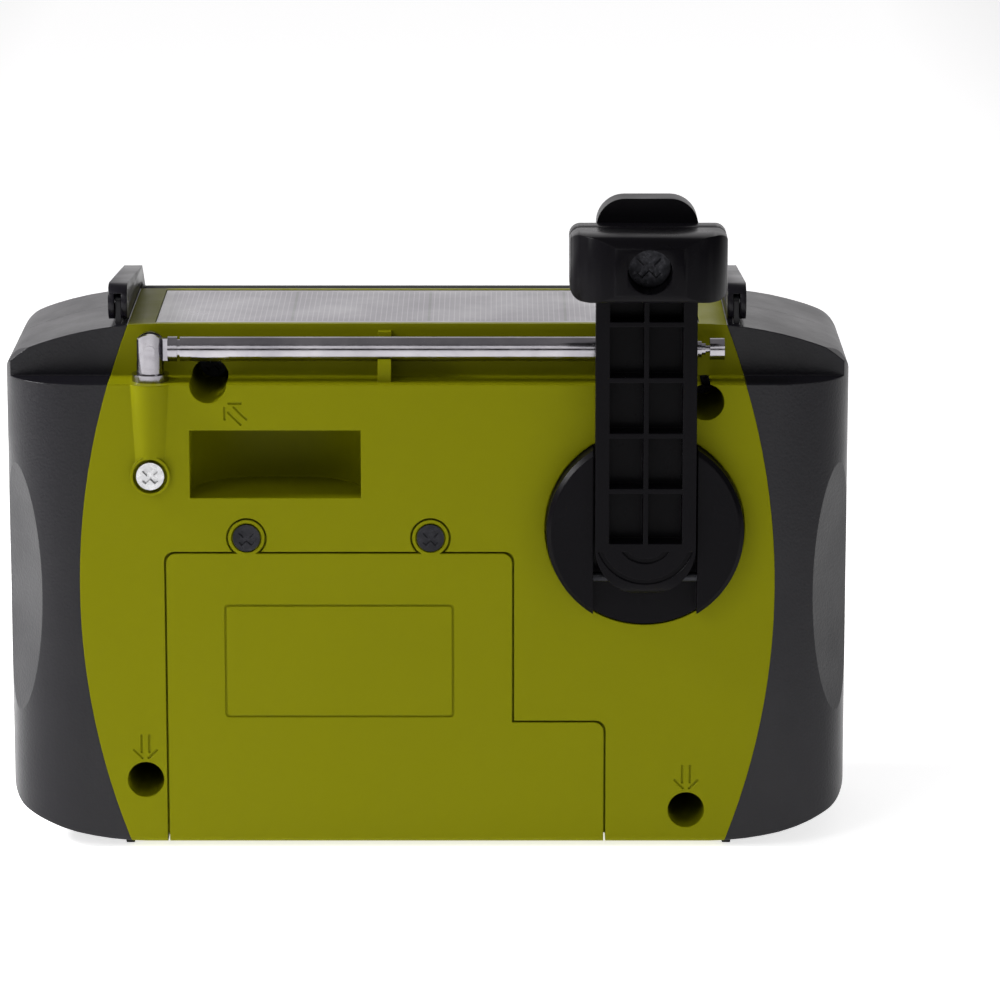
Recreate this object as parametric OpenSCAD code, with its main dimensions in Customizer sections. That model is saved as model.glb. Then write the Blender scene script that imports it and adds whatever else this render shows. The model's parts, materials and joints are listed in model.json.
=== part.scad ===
// Hand-crank and solar emergency radio, as an assembly of separate pieces.
// Millimetres. X runs along the width, Y from the crank side to the dial side, Z up.
// Inside the modules, y = 0 is the flat rear face and z = 0 the underside of the case.

/* [Body] */
// Overall width over the end caps
body_w = 152.5; // [140:0.5:185]
// Height of the case without its feet
body_h = 94.4; // [90:0.2:114]
// Depth from the rear face to the front face
body_d = 50; // [46:0.5:60]
// Depth of the rear half, up to the parting line
rear_d = 31; // [28:0.5:36]
// Wall of the mouldings
wall = 2.4; // [2:0.1:2.9]
// Radius of the arcs that round the top and the bottom towards the ends
end_r = 68; // [60:1:90]
// Distance from the middle where those arcs begin
end_start = 48; // [44:0.5:54]
// Radius of the four outer corners
tip_r = 5; // [3:0.5:7]
// Radius of the shoulders over the crank side
shoulder_r = 29.5; // [27:0.5:34]
// Rounding of the rear upright edges
rear_round = 14; // [10:0.5:14]
// Rounding of the front edges
front_round = 6; // [3:0.5:7]
// Rounding of the rear bottom edge
rear_edge = 1; // [0.5:0.1:2]
// Width of the coloured middle at half height
middle_w = 125.2; // [120:0.2:136]
// Radius of the arcs where the middle meets the caps
middle_r = 131.4; // [120:0.2:150]
// Height of the hollow in each end cap
scoop_h = 46; // [30:1:52]
// Depth of that hollow
scoop_depth = 1.7; // [1:0.1:2.4]
// Direction that the hollow faces, from the rear face round to the side
scoop_turn = 60; // [50:1:66]
// Height of the feet
foot_h = 1; // [0.8:0.1:1.5]
// Width of each foot
foot_w = 1.6; // [1.2:0.1:3]

/* [Screw wells] */
// Radius of the deep wells for the case screws
well_r = 3.3; // [3:0.1:3.6]
// Wall round each well
well_wall = 1.5; // [1.2:0.1:1.8]
// Depth of the wells
well_d = 23; // [18:0.5:25]
// Radius of the case screws' shanks
case_screw_r = 1.4; // [1.2:0.1:1.6]
// Radius of the case screws' heads
case_head_r = 2.6; // [2.2:0.1:2.8]

/* [Antenna] */
// Depth of the step along the top rear edge
step_d = 8.5; // [7.5:0.1:10]
// Height of that step
step_h = 9.5; // [8.8:0.1:11]
// Distance of the post from the middle
post_x = 49.6; // [48:0.1:51]
// Radius of the post
post_r = 2.5; // [2.4:0.1:2.7]
// Depth of the post and rod behind the rear face
rod_y = 4.2; // [4:0.1:4.6]
// Height of the rod above the step
rod_rise = 5.7; // [5.2:0.1:5.8]
// Outer radius of the thickest section
rod_r = 2.25; // [2.2:0.05:2.4]
// Step in radius from one section to the next
rod_step = 0.4; // [0.38:0.01:0.42]
// Wall of each section's tube
rod_wall = 0.33; // [0.3:0.01:0.33]
// Length of the thickest section
rod_len = 92; // [80:1:96]
// Radius of the tilt pin
tilt_pin_r = 1; // [0.8:0.05:1.05]
// Height of the antenna screw
ant_screw_z = 68.3; // [66:0.1:69]

/* [Crank] */
// Distance of the crank from the middle
hub_x = 39.1; // [38:0.1:41]
// Height of the crank's axis
hub_z = 58.7; // [57:0.1:60]
// Radius of the crank's disc
hub_r = 17.7; // [17:0.1:19]
// How far the disc stands out
hub_out = 4.6; // [4.4:0.1:5]
// Width of the arm
arm_w = 18; // [17:0.1:19]
// Thickness of the arm
arm_t = 6; // [5:0.1:6]
// Working radius, from the crank's axis to the knob's axis
crank_r = 50.8; // [48:0.1:56]
// Radius of the arm's hinge pin
arm_pin_r = 0.9; // [0.8:0.05:1]
// Length of the knob across
knob_w = 27.7; // [24:0.1:28.5]
// Thickness of the knob
knob_t = 11.6; // [9:0.1:11.8]
// How far the knob stands out from the arm
knob_len = 18.3; // [16:0.1:19]
// Rounding of the knob's outer corners
knob_round = 10.5; // [8:0.1:11]
// Thickness of the strip at the knob's foot
strip_t = 5; // [2.5:0.1:6]
// Radius of the crank's shaft
shaft_r = 3; // [2.5:0.1:3.5]

/* [Knob pocket] */
// Middle of the pocket, across
pocket_x = -27.2; // [-28:0.1:-26]
// Height of the pocket's middle
pocket_z = 70.35; // [69.5:0.05:71]
// Gap at the ends of the stored knob
pocket_gap = 1.5; // [0.8:0.1:1.8]
// Gap above and below the stored knob
pocket_gap_z = 0.4; // [0.3:0.05:0.8]

/* [Gears] */
// Module of the gear teeth
tooth_m = 0.8; // [0.75:0.05:0.8]
// Teeth on the crank's gear
crank_teeth = 40; // [36:4:40]
// Teeth on the idler's small gear
idler_small = 10; // [10:1:11]
// Teeth on the idler's large gear
idler_large = 36; // [32:4:36]
// Teeth on the generator's pinion
rotor_teeth = 9; // [9:1:10]
// Thickness of the gears
gear_t = 3; // [2.5:0.1:3.5]
// Radius of the generator
gen_r = 12; // [10:0.5:13]

/* [Battery bay] */
// Left edge of the door
door_x0 = -47; // [-47.2:0.1:-46]
// Right edge of the door's upper part
door_x1 = 15.3; // [14.8:0.1:16]
// Right edge of the door's lower part
door_x2 = 31.9; // [31:0.1:33]
// Height of the door's top edge
door_z = 53.9; // [53.2:0.1:54.2]
// Height of the door's step
door_step_z = 22.5; // [22.4:0.1:23]
// Thickness of the door
door_t = 1.4; // [1.2:0.1:1.6]
// Gap round the door
door_gap = 0.35; // [0.2:0.05:0.5]
// Radius of the lugs that take the door's screws
lug_r = 3.3; // [3:0.1:3.6]
// Depth of the battery bay
bay_d = 23; // [22:0.5:24]
// Radius of the small cells
aa_r = 7.1; // [6.9:0.05:7.15]
// Length of the small cells
aa_len = 49.5; // [48:0.5:50]
// Radius of the large cell
li_r = 9.1; // [8.8:0.05:9.2]
// Length of the large cell
li_len = 65; // [60:0.5:66]

/* [Top] */
// Width of the solar panel
panel_w = 98; // [80:1:100]
// Thickness of the solar panel
panel_t = 1.6; // [1.2:0.1:1.8]
// Distance of the handle's arms from the middle
handle_x = 55.7; // [55.6:0.1:58]
// Width of the handle's arms
handle_w = 3.4; // [2.8:0.1:3.6]
// Height of the handle's hinge above the case
handle_rise = 3.6; // [3.6:0.1:4.5]
// Radius of the arm's round end
handle_root_r = 3.3; // [3:0.1:3.3]
// Radius of the grip
grip_r = 4; // [3.5:0.1:4.5]

/* [Front] */
// Middle of the loudspeaker, across
speaker_x = -28; // [-29:0.5:-26]
// Height of the loudspeaker's middle
speaker_z = 44; // [42:0.5:46]
// Radius of the loudspeaker
speaker_r = 25; // [22:0.5:25]
// Radius of the holes in the grille
grille_hole_r = 1.1; // [0.9:0.1:1.2]
// Width of the dial's window
window_w = 44; // [38:1:46]
// Height of the dial's window
window_h = 17; // [14:0.5:18]
// Radius of the tuning knob
tuning_r = 12; // [10:0.5:13]
// Radius of the volume knob
volume_r = 8; // [7:0.5:9]
// Radius of the torch's lens
torch_r = 10; // [8:0.5:11]

/* [Hidden] */
$fn = 64;
fine = 0.05;        // running gap, on the radius
slack = 0.3;        // gap between pieces that pass each other
far = 300;
half_w = body_w / 2;
middle_off = middle_w / 2 - middle_r;
seam_low = middle_off + sqrt(pow(middle_r, 2) - pow(body_h / 2, 2));
foot_x = seam_low + 0.57;
ledge_z = body_h - step_h;
shoulder_x = end_start + 6.5;
rod_z = ledge_z + rod_rise;
boss_r = well_r + well_wall;
// x and z of the four screw wells
wells = [[-39.1, ledge_z - 0.1], [49.9, ledge_z - 3.2], [-51.2, 11.8], [46.9, 6.1]];

// crank: the fold hinge lies below the axis, so that the folded knob reaches its pocket
stored_r = norm([pocket_x - hub_x, pocket_z - hub_z]);
hinge_drop = (stored_r - crank_r) / 2;
hinge_z = hub_z - hinge_drop;
hinge_out = slack + arm_t / 2;
arm_len = crank_r + hinge_drop;
knob_z = hub_z + crank_r;
arm_face = hinge_out + arm_t / 2;
knob_out = arm_face + knob_len;
pocket_d = knob_len - slack + 0.6;
hub_sink = 1.2;
channel_w = arm_w + 2 * slack;

// handle, in the side view
handle_y = step_d + handle_rise;
handle_z = body_h + handle_rise;
knee = [body_d, body_h + 1.9];
grip = [body_d + 8, body_h - 5.9];
knee_r = 1.5;
ear_r = 1.6;
ear_t = 1.1;
ear_gap = 0.1;
grip_out = grip[0] + grip_r;

// the whole radio is centred front to back and stands on its feet
rear_y = (knob_out - grip_out) / 2;

// gear train, in the rear view
idler_turn = 139.5;
rotor_turn = 193.5;
idler_gap = tooth_m * (crank_teeth + idler_small) / 2;
rotor_gap = tooth_m * (idler_large + rotor_teeth) / 2;
idler_at = [hub_x, hub_z] + idler_gap * [cos(idler_turn), sin(idler_turn)];
rotor_at = idler_at + rotor_gap * [cos(rotor_turn), sin(rotor_turn)];
gear_y = wall + 4.6;
large_y = gear_y + gear_t + 1;
plate_y = large_y + gear_t + 1;
plate_t = 1.6;
gen_len = 14;
pin_r = 1.5;

// solar panel, front to back
panel_y0 = step_d + 1.4;
panel_y1 = body_d - front_round - 0.8;

// front pieces
window_x = 28;
window_z = 68.5;
knob_row_z = 42;
tuning_x = 44;
volume_x = 16;
slider_x = 16;
low_row_z = 20;
button_x = 44;
led_x = 30;
board_y = body_d - 9;
pointer_y = body_d - wall - 2.6;
torch_z = body_h / 2;
torch_y = rear_d;
jack_z = 38;
socket_z = 56;

module place() translate([0, rear_y, foot_h]) children();

// a flat outline in X and Z, given depth from y0 to y1
module deep(y0, y1) translate([0, y1, 0]) rotate([90, 0, 0]) linear_extrude(y1 - y0) children();

// a round bar along Y
module bar(x, z, y0, y1, r) translate([x, y0, z]) rotate([-90, 0, 0]) cylinder(r = r, h = y1 - y0);

// a round bar along X
module cross(x0, x1, y, z, r) translate([x0, y, z]) rotate([0, 90, 0]) cylinder(r = r, h = x1 - x0);

// a box from corner to corner
module block(a, b) translate(a) cube(b - a);

// a rectangle with round corners, from corner to corner
module soft_rect(a, b, r) {
    translate([a[0] + r, a[1]]) square([b[0] - a[0] - 2 * r, b[1] - a[1]]);
    translate([a[0], a[1] + r]) square([b[0] - a[0], b[1] - a[1] - 2 * r]);
    for (x = [a[0] + r, b[0] - r], z = [a[1] + r, b[1] - r]) translate([x, z]) circle(r);
}

// a quarter of the case's outline, from the bottom edge round to the end, moved in by d
function quarter(d) = let(
        dx = half_w - tip_r - end_start,
        dz = sqrt(pow(end_r - tip_r, 2) - pow(dx, 2)),
        turn = atan2(-dz, dx),
        steps = 8)
    concat(
        [for (i = [0 : steps]) let(a = -90 + (turn + 90) * i / steps)
            [end_start + (end_r - d) * cos(a), end_r + (end_r - d) * sin(a)]],
        [for (i = [1 : steps]) let(a = turn * (1 - i / steps))
            [half_w - tip_r + (tip_r - d) * cos(a), end_r - dz + (tip_r - d) * sin(a)]]);

// outline of the whole case in X and Z, moved in by d
module outline(d = 0) {
    q = quarter(d);
    n = len(q) - 1;
    polygon(concat(
        q,
        [for (i = [n : -1 : 0]) [q[i][0], body_h - q[i][1]]],
        [for (i = [0 : n]) [-q[i][0], body_h - q[i][1]]],
        [for (i = [n : -1 : 0]) [-q[i][0], q[i][1]]]));
}

// outline in Y and Z, seen from the side
module side_outline(d = 0) {
    back = rear_edge;
    front = front_round;
    translate([back + d, d]) square([body_d - back - front - 2 * d, body_h - 2 * d]);
    translate([d, back + d]) square([front * 2, body_h - 2 * back - 2 * d]);
    translate([body_d - 2 * front, front + d]) square([2 * front - d, body_h - 2 * front - 2 * d]);
    for (z = [back + d, body_h - back - d]) translate([back + d, z]) circle(back);
    for (z = [front + d, body_h - front - d]) translate([body_d - front - d, z]) circle(front);
}

// outline in X and Y, seen from above
module plan_outline(d = 0) {
    back = rear_round;
    front = front_round;
    translate([-half_w + d, back + d]) square([body_w - 2 * d, body_d - back - front - 2 * d]);
    translate([-half_w + back + d, d]) square([body_w - 2 * back - 2 * d, back + 1]);
    translate([-half_w + front + d, body_d - front - 1 - d]) square([body_w - 2 * front - 2 * d, front + 1]);
    for (s = [-1, 1]) {
        translate([s * (half_w - back - d), back + d]) circle(back);
        translate([s * (half_w - front - d), body_d - front - d]) circle(front);
    }
}

// the case as one solid, moved in by d
module case_solid(d = 0) intersection() {
    deep(0, body_d) outline(d);
    translate([-half_w, 0, 0]) rotate([90, 0, 90]) linear_extrude(body_w) side_outline(d);
    linear_extrude(body_h) plan_outline(d);
}

// outline of the coloured middle, moved in by d
module middle(d = 0) intersection_for(s = [-1, 1])
    translate([s * middle_off, body_h / 2]) circle(middle_r - d, $fn = 180);

// the step along the top rear edge, grown by d
module step(d = 0) block([-far, -far, ledge_z - d], [far, step_d + d, far]);

// the hollow in one end cap, s = -1 on the left
module scoop(s, d = 0) {
    chord = scoop_h / 2;
    r = (pow(chord, 2) + pow(scoop_depth, 2)) / (2 * scoop_depth);
    reach = rear_round - scoop_depth + r;
    translate([s * (half_w - rear_round + reach * sin(scoop_turn)),
            rear_round - reach * cos(scoop_turn), body_h / 2 - 1])
        rotate([0, 90, s * scoop_turn])
            cylinder(r = r + d, h = 90, center = true, $fn = 180);
}

// what the sloping shoulder takes off an end cap's top corner, grown by d, s = -1 on the left
module shoulder(s, d = 0) {
    at = [s * shoulder_x, step_d - 3, body_h - shoulder_r];
    difference() {
        block([s < 0 ? -half_w - 1 : shoulder_x, -1, body_h - shoulder_r],
            [s < 0 ? -shoulder_x : half_w + 1, body_d, body_h + 1]);
        translate(at) rotate([-85, 0, -s * 11]) translate([0, 0, -40])
            cylinder(r = shoulder_r - d, h = 120, $fn = 180);
    }
}

// half of an end cap's outer shape between two depths, s = -1 on the left
module cap_solid(s, y0, y1) difference() {
    intersection() {
        case_solid();
        block([s < 0 ? -half_w : 0, y0, 0], [s < 0 ? 0 : half_w, y1, body_h]);
    }
    deep(-1, body_d + 1) middle();
    step();
    shoulder(s);
}

// the space inside an end cap
module cap_space(s) difference() {
    case_solid(wall);
    deep(-1, body_d + 1) middle(-wall);
    step(wall);
    scoop(s, wall);
    shoulder(s, wall);
}

// holes for the torch on the right, and for the sockets on the left
module side_holes(s) {
    if (s > 0) cross(0, half_w + 1, torch_y, torch_z, torch_r + fine);
    else {
        cross(-half_w - 1, 0, rear_d, jack_z, 3);
        block([-half_w - 1, rear_d - 1.8, socket_z - 4.8], [0, rear_d + 1.8, socket_z + 4.8]);
    }
}

module rear_cap(s) color([0.05, 0.05, 0.06]) place() difference() {
    cap_solid(s, 0, rear_d);
    scoop(s);
    cap_space(s);
    side_holes(s);
}

// the ear that the handle turns on
module ear(s) {
    x0 = s * handle_x - ear_t / 2;
    difference() {
        union() {
            cross(x0, x0 + ear_t, handle_y, handle_z, ear_r);
            block([x0, handle_y - ear_r, body_h - 1], [x0 + ear_t, handle_y + ear_r, handle_z]);
        }
        cross(x0 - 1, x0 + ear_t + 1, handle_y, handle_z, 0.8);
    }
}

module rear_cap_left() {
    rear_cap(-1);
    color([0.05, 0.05, 0.06]) place() ear(-1);
}

module rear_cap_right() {
    rear_cap(1);
    color([0.05, 0.05, 0.06]) place() ear(1);
}

module front_cap(s) color([0.05, 0.05, 0.06]) place() difference() {
    cap_solid(s, rear_d, body_d);
    cap_space(s);
    side_holes(s);
}

module front_cap_left() front_cap(-1);

module front_cap_right() front_cap(1);

// battery door outline, grown by d
module door_outline(d = 0) {
    r = 1.8;
    soft_rect([door_x0 - d, -8], [door_x1 + d, door_z + d], r);
    soft_rect([door_x0 - d, -8], [door_x2 + d, door_step_z + d], r);
    for (x = lug_xs) translate([x, lug_z]) circle(lug_r + d);
}
lug_xs = [-32.5, 0.6];
lug_z = door_z + 2.9;
door_wrap = 13;

module door_solid(d = 0) intersection() {
    union() {
        deep(-1, door_t) door_outline(d);
        block([door_x0 - d, -1, -1], [door_x2 + d, door_wrap + d, door_t]);
    }
    union() {
        case_solid();
        if (d > 0) block([-far, -2, -2], [far, door_wrap + d, rear_edge + 2]);
        if (d > 0) block([-far, -2, -2], [far, door_t, body_h]);
    }
}

module label_frame() {
    x = [-36.6, 4.8];
    z = [23.5, 44.5];
    line = 0.35;
    deep(-1, 0.25) difference() {
        soft_rect([x[0], z[0]], [x[1], z[1]], 0.8);
        soft_rect([x[0] + line, z[0] + line], [x[1] - line, z[1] - line], 0.6);
    }
}

module battery_door() color([0.46, 0.49, 0.05]) place() difference() {
    door_solid();
    label_frame();
    for (x = lug_xs) {
        bar(x, lug_z, -1, 0.6, 2.7);
        bar(x, lug_z, -1, 3, 1.2);
    }
}

// a countersunk or pan-head screw with a cross recess, its head towards -Y
module screw(x, z, y, head_r, head_t, shank_r, len) difference() {
    union() {
        bar(x, z, y, y + head_t, head_r);
        bar(x, z, y + head_t, y + len, shank_r);
    }
    for (turn = [45, 135]) translate([x, y, z]) rotate([0, turn, 0])
        cube([head_r * 1.3, head_t, head_r * 0.34], center = true);
}

module door_screws() color([0.12, 0.12, 0.13]) place()
    for (x = lug_xs) screw(x, lug_z, -0.2, 2.45, 0.8, 1.1, 9);

// x, z, depth and length of each cell
cell_y = wall + 1 + aa_r;
li_y = wall + 0.8 + li_r;
aa_x = (door_x0 + door_x1) / 2;
aa_zs = [door_step_z + aa_r, door_step_z + 0.3 + 3 * aa_r];
li_x = (door_x0 + door_x2) / 2;
li_z = wall + 1.5 + li_r;
bay_wall = 1.2;

module bay_outline(d = 0) {
    translate([door_x0 + 1.6 + d, wall + 0.2 + d])
        square([door_x2 - door_x0 - 3.2 - 2 * d, door_step_z - wall - 0.4 - d]);
    translate([door_x0 + 1.6 + d, door_step_z - 4])
        square([door_x1 - door_x0 - 3.2 - 2 * d, door_z - door_step_z + 4 - 0.2 - d]);
}

module battery_box() color([0.08, 0.08, 0.08]) place() difference() {
    deep(wall, bay_d) bay_outline();
    deep(wall - 1, bay_d - bay_wall) bay_outline(bay_wall);
}

module spring(x, z, y, len, r) {
    turns = 4;
    for (i = [0 : turns - 1])
        translate([x + (i + 0.5) * len / turns, y, z]) rotate([0, 90, 0])
            rotate_extrude() translate([r * (1 - 0.12 * i), 0]) circle(0.35, $fn = 16);
}

// sprung and flat contacts at the ends of the cells
module battery_springs() color([0.8, 0.8, 0.82]) place() {
    aa_gap = (door_x1 - door_x0 - 3.2 - 2 * bay_wall - aa_len) / 2;
    x0 = aa_x - aa_len / 2 - aa_gap;
    for (z = aa_zs) {
        block([x0, cell_y - 4, z - 4], [x0 + 0.4, cell_y + 4, z + 4]);
        spring(x0 + 0.4, z, cell_y, aa_gap - 0.5, 3.4);
    }
    x1 = door_x1 - 1.6 - bay_wall;
    block([x1 - 0.4, cell_y - 4, aa_zs[0] - 4], [x1, cell_y + 4, aa_zs[1] + 4]);
    li_gap = (door_x2 - door_x0 - 3.2 - 2 * bay_wall - li_len) / 2;
    xl = li_x - li_len / 2 - li_gap;
    block([xl, li_y - 5, li_z - 5], [xl + 0.4, li_y + 5, li_z + 5]);
    spring(xl + 0.4, li_z, li_y, li_gap - 0.5, 4);
    xr = door_x2 - 1.6 - bay_wall;
    block([xr - 0.4, li_y - 5, li_z - 5], [xr, li_y + 5, li_z + 5]);
}

module cell(x, z, y, len, r, nub) {
    cross(x - len / 2, x + len / 2 - 1, y, z, r);
    cross(x + len / 2 - 1, x + len / 2, y, z, nub);
}

module aa_cells() color([0.2, 0.25, 0.3]) place()
    for (z = aa_zs) cell(aa_x, z, cell_y, aa_len, aa_r, 2.75);

module lithium_cell() color([0.3, 0.35, 0.6]) place() cell(li_x, li_z, li_y, li_len, li_r, 4);

// pocket for the folded knob, grown by d
module pocket_space(d = 0) {
    half = knob_w / 2 + pocket_gap + d;
    round_r = knob_round + pocket_gap + d;
    depth = pocket_d + d;
    high = knob_t / 2 + pocket_gap_z + d;
    translate([pocket_x, 0, pocket_z - high]) linear_extrude(2 * high) {
        translate([-half, -1]) square([2 * half, depth - round_r + 1]);
        translate([-half + round_r, -1]) square([2 * (half - round_r), depth + 1]);
        for (s = [-1, 1]) translate([s * (half - round_r), depth - round_r]) circle(round_r);
    }
}

// small double arrow that marks a case screw, pointing down before its turn
module mark(at, turn = 0) deep(-1, 0.25) translate(at) rotate(turn) {
    for (s = [-1, 1]) translate([s * 0.7, 0]) square([0.35, 3.4], center = true);
    for (s = [-1, 1]) translate([s * 1.3, -1.9]) rotate(-s * 45) square([0.35, 2.4], center = true);
}

// bulge that holds the antenna's foot
module antenna_boss() intersection() {
    union() {
        translate([-post_x, 2.6, ant_screw_z]) cylinder(r1 = 3.6, r2 = 4.3, h = ledge_z - ant_screw_z);
        bar(-post_x, ant_screw_z, -1, wall, 3.6);
    }
    block([-far, -far, 0], [far, wall + 2, ledge_z]);
}

// saddle that the rod rests in
module saddle() {
    x = [-8.8, -6.4];
    difference() {
        block([x[0], 2.2, ledge_z - 0.5], [x[1], step_d + 0.5, rod_z + 2.6]);
        cross(x[0] - 1, x[1] + 1, rod_y, rod_z, rod_r + 0.2);
        block([x[0] - 1, 0, rod_z], [x[1] + 1, rod_y + rod_r + 0.2, rod_z + 9]);
        block([x[0] - 1, 0, rod_z - 1.4], [x[1] + 1, rod_y, rod_z + 9]);
    }
}

module rear_case() {
    rear_shell();
    color([0.46, 0.49, 0.05]) place() saddle();
}

module rear_shell() color([0.46, 0.49, 0.05]) place() difference() {
    union() {
        difference() {
            intersection() {
                case_solid();
                deep(0, rear_d) middle();
            }
            intersection() {
                difference() {
                    case_solid(wall);
                    step(wall);
                }
                deep(0, rear_d + 1) middle(wall);
            }
        }
        intersection() {
            union() {
                for (w = wells) bar(w[0], w[1], 0.5, rear_d, boss_r);
                difference() {
                    pocket_space(1.6);
                    block([-far, -far, 0], [far, 0.2, far]);
                }
                for (x = lug_xs) bar(x, lug_z, 1, 10, 2.9);
                bar(-post_x, ant_screw_z, 1, 12, 3);
                bar(hub_x, hub_z, 1, wall + 3, 6.5);
            }
            case_solid(0.6);
            deep(0, rear_d) middle(0.6);
        }
        antenna_boss();
    }
    step();
    for (w = wells) {
        bar(w[0], w[1], -1, well_d, well_r);
        bar(w[0], w[1], well_d - 1, rear_d + 1, case_screw_r + 0.2);
    }
    pocket_space();
    door_solid(door_gap);
    // opening of the battery bay, inside the lip that the door rests on
    deep(-1, wall + 1) {
        translate([door_x0 + 1.6, -1]) square([door_x2 - door_x0 - 3.2, door_step_z]);
        translate([door_x0 + 1.6, -1]) square([door_x1 - door_x0 - 3.2, door_z]);
    }
    for (x = lug_xs) bar(x, lug_z, 0, 11, 1.15);
    // foot and screw of the antenna post
    block([-post_x - 2.6, rod_y - 1.1, ledge_z - 6], [-post_x + 2.6, rod_y + 1.1, ledge_z + 1]);
    bar(-post_x, ant_screw_z, -3, 0.6, 3.1);
    bar(-post_x, ant_screw_z, -3, 13, 1.25);
    block([-post_x - 2.6, rod_y - 1.1, ant_screw_z - 3.2], [-post_x + 2.6, rod_y + 1.1, ledge_z]);
    // sunk seat and bush hole of the crank
    bar(hub_x, hub_z, -1, hub_sink + 0.1, hub_r + slack);
    bar(hub_x, hub_z, -1, wall + 4, shaft_r + 1.5);
    for (i = [2, 3]) mark(wells[i] + [0, well_r + 3.4]);
    mark(wells[0] + [5.2, -5.6], -135);
    panel_space();
}

module front_case() color([0.46, 0.49, 0.05]) place() difference() {
    union() {
        difference() {
            intersection() {
                case_solid();
                deep(rear_d, body_d) middle();
            }
            intersection() {
                case_solid(wall);
                deep(rear_d - 1, body_d) middle(wall);
            }
        }
        intersection() {
            for (w = wells) bar(w[0], w[1], rear_d, body_d - 1, boss_r);
            case_solid(0.6);
            deep(rear_d, body_d) middle(0.6);
        }
    }
    for (w = wells) bar(w[0], w[1], rear_d - 1, rear_d + 12, case_screw_r + fine);
    bar(speaker_x, speaker_z, body_d - wall - 1, body_d + 1, speaker_r - 1.5);
    bar(speaker_x, speaker_z, body_d - 1.4, body_d + 1, speaker_r + 0.5);
    deep(body_d - wall - 1, body_d + 1)
        soft_rect([window_x - window_w / 2 + 2, window_z - window_h / 2 + 2],
            [window_x + window_w / 2 - 2, window_z + window_h / 2 - 2], 1.5);
    deep(body_d - 1.2, body_d + 1)
        soft_rect([window_x - window_w / 2, window_z - window_h / 2],
            [window_x + window_w / 2, window_z + window_h / 2], 2.5);
    bar(tuning_x, knob_row_z, body_d - wall - 1, body_d + 1, 3.2);
    bar(volume_x, knob_row_z, body_d - wall - 1, body_d + 1, 3.2);
    deep(body_d - wall - 1, body_d + 1) soft_rect([slider_x - 7, low_row_z - 1.7], [slider_x + 7, low_row_z + 1.7], 1);
    bar(button_x, low_row_z, body_d - wall - 1, body_d + 1, 4.3);
    bar(led_x, low_row_z, body_d - wall - 1, body_d + 1, 1.55);
    panel_space();
}

// recess for the solar panel
module panel_space()
    block([-panel_w / 2, panel_y0, body_h - panel_t], [panel_w / 2, panel_y1, body_h + 1]);

module case_screws() color([0.7, 0.7, 0.72]) place()
    for (w = wells) screw(w[0], w[1], well_d - 1.8, case_head_r, 1.8, case_screw_r, 18);

module antenna_post() color([0.85, 0.85, 0.87]) place() difference() {
    union() {
        intersection() {
            translate([-post_x, rod_y, ledge_z]) cylinder(r = post_r, h = 20);
            union() {
                block([-far, -far, 0], [0, far, rod_z]);
                bar(-post_x, rod_z, -5, 15, post_r + 0.4);
            }
        }
        translate([-post_x, rod_y, ledge_z]) cylinder(r = post_r + 0.85, h = 1.3);
        block([-post_x - 2.4, rod_y - 1, ant_screw_z - 3], [-post_x + 2.4, rod_y + 1, ledge_z + 0.5]);
    }
    block([-post_x - 5, rod_y - 0.9, rod_z - 2.3], [-post_x + 5, rod_y + 0.9, rod_z + 9]);
    bar(-post_x, rod_z, -3, 12, tilt_pin_r);
    bar(-post_x, ant_screw_z, -3, 12, 1.25);
}

module antenna_screw() color([0.8, 0.8, 0.8]) place()
    screw(-post_x, ant_screw_z, -0.9, 2.5, 1.5, 1.2, 11);

module antenna_pin() color([0.75, 0.75, 0.77]) place()
    bar(-post_x, rod_z, rod_y - post_r - 0.1, rod_y + post_r + 0.1, tilt_pin_r);

// start of the rod, clear of the post
rod_x = -post_x + post_r + 0.7;
tube_x = rod_x + 2.2;

// one tube of the rod, i = 0 for the thickest
module tube(i) {
    r = rod_r - i * rod_step;
    x0 = tube_x + (i == 0 ? 0 : 1 + i);
    x1 = tube_x + rod_len + i * 0.7;
    difference() {
        cross(x0, x1, rod_y, rod_z, r);
        cross(x0 + 0.6, x1 + 1, rod_y, rod_z, r - rod_wall);
    }
}

module antenna_root() color([0.8, 0.8, 0.82]) place() {
    difference() {
        union() {
            bar(-post_x, rod_z, rod_y - 0.8, rod_y + 0.8, 2);
            block([-post_x, rod_y - 0.8, rod_z - 2], [rod_x + 0.5, rod_y + 0.8, rod_z + 2]);
            cross(rod_x, rod_x + 1.7, rod_y, rod_z, 2.3);
            cross(rod_x + 1.5, tube_x + 0.2, rod_y, rod_z, 1.8);
        }
        bar(-post_x, rod_z, -3, 12, tilt_pin_r + fine);
    }
    tube(0);
}

module antenna_section_2() color([0.78, 0.78, 0.8]) place() tube(1);

module antenna_section_3() color([0.78, 0.78, 0.8]) place() tube(2);

module antenna_section_4() color([0.78, 0.78, 0.8]) place() tube(3);

module antenna_section_5() color([0.78, 0.78, 0.8]) place() {
    end = tube_x + rod_len + 2.9;
    cross(tube_x + 5, end, rod_y, rod_z, rod_r - 4 * rod_step);
    cross(end, end + 2.6, rod_y, rod_z, 2);
}

module solar_panel() color([0.4, 0.4, 0.46]) place() {
    gap = 0.15;
    block([-panel_w / 2 + gap, panel_y0 + gap, body_h - panel_t],
        [panel_w / 2 - gap, panel_y1 - gap, body_h - 0.1]);
}

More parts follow.
